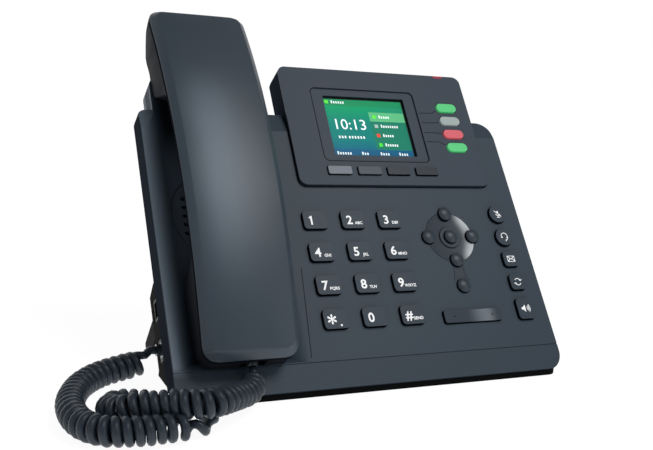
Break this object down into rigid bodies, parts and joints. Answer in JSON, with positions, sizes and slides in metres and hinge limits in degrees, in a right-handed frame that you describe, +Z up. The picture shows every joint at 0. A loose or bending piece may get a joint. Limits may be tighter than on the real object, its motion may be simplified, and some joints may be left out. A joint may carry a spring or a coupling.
{
  "type": "desk ip phone",
  "caption": "Corded desk telephone with a sloping keypad panel, a raised colour display, a lift-off handset and a curly cord.",
  "frame": {"origin": "middle of the phone's width and depth on the table plane, cord left out", "axes": "+X to the right as the user sees the phone, -Y towards the user, +Z up"},
  "size_m": [0.2604, 0.1565, 0.1732],
  "materials": {
    "shell": "satin slate grey",
    "dark_shell": "fine textured near black",
    "handset_face": "satin slate grey",
    "handset_side": "satin dark grey",
    "key": "satin slate grey",
    "soft_key": "satin grey",
    "rocker": "satin light grey",
    "green_key": "green",
    "grey_key": "light grey",
    "red_key": "red",
    "ring": "satin silver",
    "lamp": "translucent red",
    "lens": "clear",
    "screen": "teal display",
    "board": "green board",
    "membrane": "plain",
    "speaker_metal": "black",
    "rubber": "matt",
    "steel": "plain",
    "port": "matt",
    "ballast": "plain",
    "plug": "smoked",
    "cord": "satin"
  },
  "bodies": {
    "base": {"front_housing": "shell", "rear_housing": "dark_shell", "display_housing": "shell", "display_lens": "lens", "lcd_panel": "screen", "message_lamp": "lamp", "nav_ring": "ring", "main_board": "board", "key_membrane": "membrane", "loudspeaker": "speaker_metal", "stand": "dark_shell", "rubber_feet": "rubber", "housing_screws": "steel", "network_jacks": "port", "power_jack": "port", "audio_ports": "port", "handset_hook_tab": "dark_shell", "base_plug": "plug", "handset_cord": "cord"},
    "handset": {"handset_outer_shell": "handset_face", "handset_inner_shell": "handset_side", "receiver_capsule": "membrane", "microphone_capsule": "steel", "handset_ballast": "ballast", "handset_jack": "port", "handset_plug": "plug"},
    "hook_switch": {"hook_switch": "dark_shell"},
    "volume_rocker": {"volume_rocker": "rocker"},
    "key_1": {"key_1": "key"},
    "key_2": {"key_2": "key"},
    "key_3": {"key_3": "key"},
    "key_4": {"key_4": "key"},
    "key_5": {"key_5": "key"},
    "key_6": {"key_6": "key"},
    "key_7": {"key_7": "key"},
    "key_8": {"key_8": "key"},
    "key_9": {"key_9": "key"},
    "key_star": {"key_star": "key"},
    "key_0": {"key_0": "key"},
    "key_hash": {"key_hash": "key"},
    "nav_up": {"nav_up": "key"},
    "nav_right": {"nav_right": "key"},
    "nav_down": {"nav_down": "key"},
    "nav_left": {"nav_left": "key"},
    "mute_key": {"mute_key": "key"},
    "headset_key": {"headset_key": "key"},
    "message_key": {"message_key": "key"},
    "redial_key": {"redial_key": "key"},
    "speaker_key": {"speaker_key": "key"},
    "ok_key": {"ok_key": "key"},
    "cancel_key": {"cancel_key": "key"},
    "soft_key_1": {"soft_key_1": "soft_key"},
    "soft_key_2": {"soft_key_2": "soft_key"},
    "soft_key_3": {"soft_key_3": "soft_key"},
    "soft_key_4": {"soft_key_4": "soft_key"},
    "line_key_1": {"line_key_1": "green_key"},
    "line_key_2": {"line_key_2": "grey_key"},
    "line_key_3": {"line_key_3": "red_key"},
    "line_key_4": {"line_key_4": "green_key"}
  },
  "joints": [
    {"name": "key_1_press", "type": "slide", "parent": "base", "child": "key_1", "axis": [0, 0.7986, -0.6018], "range_m": [0, 0.0012], "stiffness_N_per_m": 400},
    {"name": "key_2_press", "type": "slide", "parent": "base", "child": "key_2", "axis": [0, 0.7986, -0.6018], "range_m": [0, 0.0012], "stiffness_N_per_m": 400},
    {"name": "key_3_press", "type": "slide", "parent": "base", "child": "key_3", "axis": [0, 0.7986, -0.6018], "range_m": [0, 0.0012], "stiffness_N_per_m": 400},
    {"name": "key_4_press", "type": "slide", "parent": "base", "child": "key_4", "axis": [0, 0.7986, -0.6018], "range_m": [0, 0.0012], "stiffness_N_per_m": 400},
    {"name": "key_5_press", "type": "slide", "parent": "base", "child": "key_5", "axis": [0, 0.7986, -0.6018], "range_m": [0, 0.0012], "stiffness_N_per_m": 400},
    {"name": "key_6_press", "type": "slide", "parent": "base", "child": "key_6", "axis": [0, 0.7986, -0.6018], "range_m": [0, 0.0012], "stiffness_N_per_m": 400},
    {"name": "key_7_press", "type": "slide", "parent": "base", "child": "key_7", "axis": [0, 0.7986, -0.6018], "range_m": [0, 0.0012], "stiffness_N_per_m": 400},
    {"name": "key_8_press", "type": "slide", "parent": "base", "child": "key_8", "axis": [0, 0.7986, -0.6018], "range_m": [0, 0.0012], "stiffness_N_per_m": 400},
    {"name": "key_9_press", "type": "slide", "parent": "base", "child": "key_9", "axis": [0, 0.7986, -0.6018], "range_m": [0, 0.0012], "stiffness_N_per_m": 400},
    {"name": "key_star_press", "type": "slide", "parent": "base", "child": "key_star", "axis": [0, 0.7986, -0.6018], "range_m": [0, 0.0012], "stiffness_N_per_m": 400},
    {"name": "key_0_press", "type": "slide", "parent": "base", "child": "key_0", "axis": [0, 0.7986, -0.6018], "range_m": [0, 0.0012], "stiffness_N_per_m": 400},
    {"name": "key_hash_press", "type": "slide", "parent": "base", "child": "key_hash", "axis": [0, 0.7986, -0.6018], "range_m": [0, 0.0012], "stiffness_N_per_m": 400},
    {"name": "nav_up_press", "type": "slide", "parent": "base", "child": "nav_up", "axis": [0, 0.7986, -0.6018], "range_m": [0, 0.0012], "stiffness_N_per_m": 400},
    {"name": "nav_right_press", "type": "slide", "parent": "base", "child": "nav_right", "axis": [0, 0.7986, -0.6018], "range_m": [0, 0.0012], "stiffness_N_per_m": 400},
    {"name": "nav_down_press", "type": "slide", "parent": "base", "child": "nav_down", "axis": [0, 0.7986, -0.6018], "range_m": [0, 0.0012], "stiffness_N_per_m": 400},
    {"name": "nav_left_press", "type": "slide", "parent": "base", "child": "nav_left", "axis": [0, 0.7986, -0.6018], "range_m": [0, 0.0012], "stiffness_N_per_m": 400},
    {"name": "mute_key_press", "type": "slide", "parent": "base", "child": "mute_key", "axis": [0, 0.7986, -0.6018], "range_m": [0, 0.0012], "stiffness_N_per_m": 400},
    {"name": "headset_key_press", "type": "slide", "parent": "base", "child": "headset_key", "axis": [0, 0.7986, -0.6018], "range_m": [0, 0.0012], "stiffness_N_per_m": 400},
    {"name": "message_key_press", "type": "slide", "parent": "base", "child": "message_key", "axis": [0, 0.7986, -0.6018], "range_m": [0, 0.0012], "stiffness_N_per_m": 400},
    {"name": "redial_key_press", "type": "slide", "parent": "base", "child": "redial_key", "axis": [0, 0.7986, -0.6018], "range_m": [0, 0.0012], "stiffness_N_per_m": 400},
    {"name": "speaker_key_press", "type": "slide", "parent": "base", "child": "speaker_key", "axis": [0, 0.7986, -0.6018], "range_m": [0, 0.0012], "stiffness_N_per_m": 400},
    {"name": "ok_key_press", "type": "slide", "parent": "base", "child": "ok_key", "axis": [0, 0.7986, -0.6018], "range_m": [0, 0.0012], "stiffness_N_per_m": 400},
    {"name": "cancel_key_press", "type": "slide", "parent": "base", "child": "cancel_key", "axis": [0, 0.7986, -0.6018], "range_m": [0, 0.0012], "stiffness_N_per_m": 400},
    {"name": "soft_key_1_press", "type": "slide", "parent": "base", "child": "soft_key_1", "axis": [0, 0.7986, -0.6018], "range_m": [0, 0.001], "stiffness_N_per_m": 400},
    {"name": "soft_key_2_press", "type": "slide", "parent": "base", "child": "soft_key_2", "axis": [0, 0.7986, -0.6018], "range_m": [0, 0.001], "stiffness_N_per_m": 400},
    {"name": "soft_key_3_press", "type": "slide", "parent": "base", "child": "soft_key_3", "axis": [0, 0.7986, -0.6018], "range_m": [0, 0.001], "stiffness_N_per_m": 400},
    {"name": "soft_key_4_press", "type": "slide", "parent": "base", "child": "soft_key_4", "axis": [0, 0.7986, -0.6018], "range_m": [0, 0.001], "stiffness_N_per_m": 400},
    {"name": "line_key_1_press", "type": "slide", "parent": "base", "child": "line_key_1", "axis": [0, 0.7986, -0.6018], "range_m": [0, 0.001], "stiffness_N_per_m": 400},
    {"name": "line_key_2_press", "type": "slide", "parent": "base", "child": "line_key_2", "axis": [0, 0.7986, -0.6018], "range_m": [0, 0.001], "stiffness_N_per_m": 400},
    {"name": "line_key_3_press", "type": "slide", "parent": "base", "child": "line_key_3", "axis": [0, 0.7986, -0.6018], "range_m": [0, 0.001], "stiffness_N_per_m": 400},
    {"name": "line_key_4_press", "type": "slide", "parent": "base", "child": "line_key_4", "axis": [0, 0.7986, -0.6018], "range_m": [0, 0.001], "stiffness_N_per_m": 400},
    {"name": "volume_tilt", "type": "hinge", "parent": "base", "child": "volume_rocker", "pos_m": [0.0565, -0.03674, 0.02664], "axis": [0, 0.6018, 0.7986], "range_deg": [-2.5, 2.5], "stiffness_Nm_per_rad": 0.6},
    {"name": "handset_lift", "type": "slide", "parent": "base", "child": "handset", "axis": [0, -0.7986, 0.6018], "range_m": [0, 0.045], "deforming": ["handset_cord"]},
    {"name": "hook_rise", "type": "slide", "parent": "base", "child": "hook_switch", "axis": [0, -0.7986, 0.6018], "range_m": [0, 0.00225]}
  ],
  "couplings": [
    {"joint": "hook_rise", "follows": "handset_lift", "ratio": 0.05}
  ]
}
